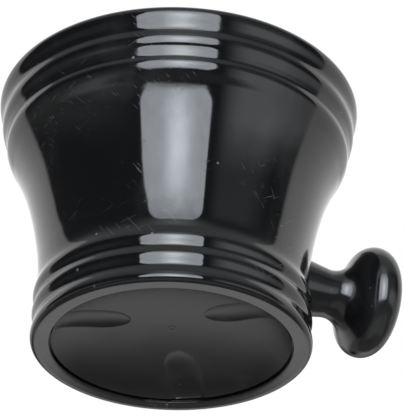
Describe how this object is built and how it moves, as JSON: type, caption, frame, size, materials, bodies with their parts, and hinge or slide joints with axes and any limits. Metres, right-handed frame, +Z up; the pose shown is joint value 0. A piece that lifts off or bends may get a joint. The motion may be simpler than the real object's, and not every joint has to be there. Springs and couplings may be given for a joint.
{
  "type": "shaving mug",
  "caption": "Flared black shaving mug with ribbed rim and foot, a recessed base and a round side knob as its handle, for whipping up lather",
  "frame": {"origin": "on the table surface under the middle of the outline of mug and knob together", "axes": "+Z is up out of the mug's mouth, +X is the way the knob points, +Y is to the left seen from behind the knob"},
  "size_m": [0.1254, 0.11, 0.0833],
  "materials": {
    "shell": "gloss black moulded plastic",
    "bowl": "gloss black moulded plastic",
    "base": "satin gloss black moulded plastic",
    "knob": "gloss black moulded plastic",
    "screw": "plain zinc plated steel"
  },
  "bodies": {
    "root": {"mug_shell": "shell", "inner_bowl": "bowl", "base_disc": "base", "knob_handle": "knob", "knob_screw": "screw"}
  },
  "joints": []
}
